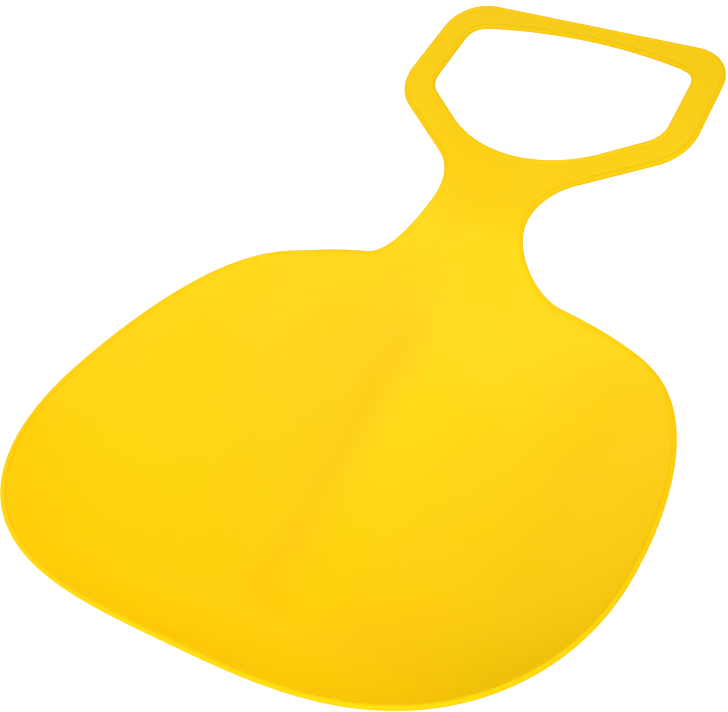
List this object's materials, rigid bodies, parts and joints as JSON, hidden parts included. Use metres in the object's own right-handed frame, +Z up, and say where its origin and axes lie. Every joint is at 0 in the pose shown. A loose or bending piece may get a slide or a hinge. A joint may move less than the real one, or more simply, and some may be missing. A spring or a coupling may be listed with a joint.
{
  "type": "snow slider",
  "caption": "Moulded plastic snow slider: a dished seat with a ridge between the legs that climbs through a neck to a flat six-sided hand loop.",
  "frame": {"origin": "on the ground, under the middle of the slider's length and width", "axes": "+Y from the seat towards the hand loop, +X to the seated rider's right, +Z up"},
  "size_m": [0.3916, 0.5027, 0.0991],
  "materials": {
    "yellow_plastic": "satin injection-moulded polyethylene, through-coloured warm yellow"
  },
  "bodies": {
    "root": {"slider_body": "yellow_plastic"}
  },
  "joints": []
}
